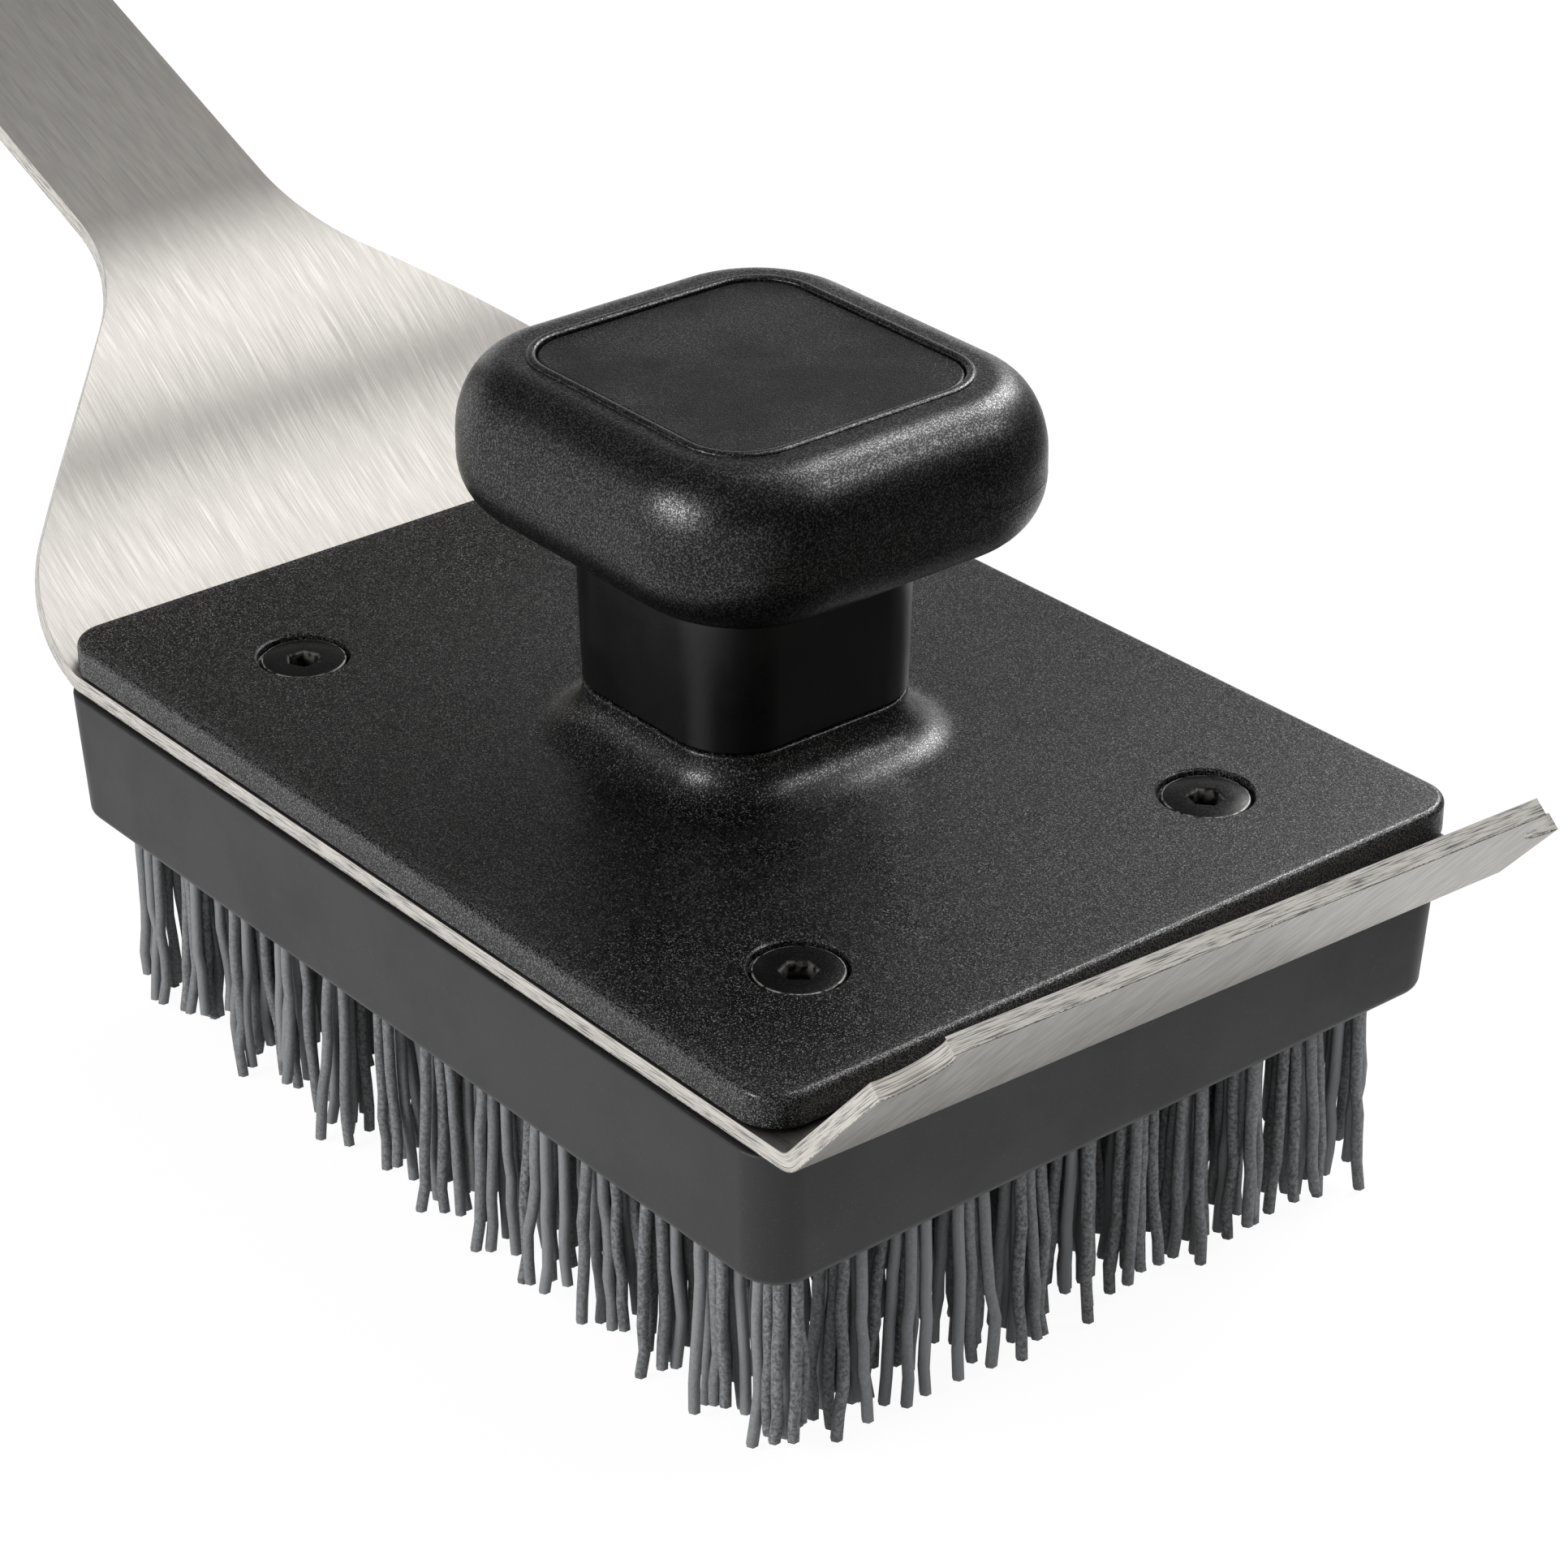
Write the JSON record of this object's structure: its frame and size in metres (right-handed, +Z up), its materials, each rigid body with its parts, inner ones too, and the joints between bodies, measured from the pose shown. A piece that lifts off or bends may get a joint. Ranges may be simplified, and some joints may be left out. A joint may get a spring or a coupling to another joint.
{
  "type": "grill cleaning brush",
  "caption": "Long-handled grill cleaning brush: bent steel plate with a scraper lip, black cover with a push knob, and a block of stiff grey nylon bristles underneath",
  "frame": {"origin": "on the floor under the middle of the brush head, at the flat tip of the middle bristle", "axes": "+Z up out of the knob; +Y from the head towards the handle, the scraper lip points to -Y; +X to the right when looking from the scraper lip towards the handle"},
  "size_m": [0.1129, 0.4503, 0.178],
  "materials": {
    "plate_steel": "brushed along the handle, bright cut edges",
    "black_plastic": "fine moulded grain",
    "block_plastic": "smooth matte moulding",
    "bristle_nylon": "abrasive-filled nylon, dull and grainy",
    "black_steel": "black oxide",
    "insert_brass": "plain turned",
    "bolt_steel": "plain zinc-plated or turned"
  },
  "bodies": {
    "root": {"steel_plate": "plate_steel", "cover_plate": "black_plastic", "knob": "black_plastic", "knob_cap": "black_plastic", "brush_block": "block_plastic", "bristle_pad": "bristle_nylon", "cover_screw_front_left": "black_steel", "cover_screw_front_right": "black_steel", "cover_screw_rear_left": "black_steel", "cover_screw_rear_right": "black_steel", "block_insert_front_left": "insert_brass", "block_insert_front_right": "insert_brass", "block_insert_rear_left": "insert_brass", "block_insert_rear_right": "insert_brass", "knob_bolt": "bolt_steel", "knob_washer": "bolt_steel", "knob_insert": "insert_brass", "grip_upper": "black_plastic", "grip_lower": "black_plastic", "grip_rivet_front": "bolt_steel", "grip_rivet_middle": "bolt_steel", "grip_rivet_rear": "bolt_steel"}
  },
  "joints": []
}
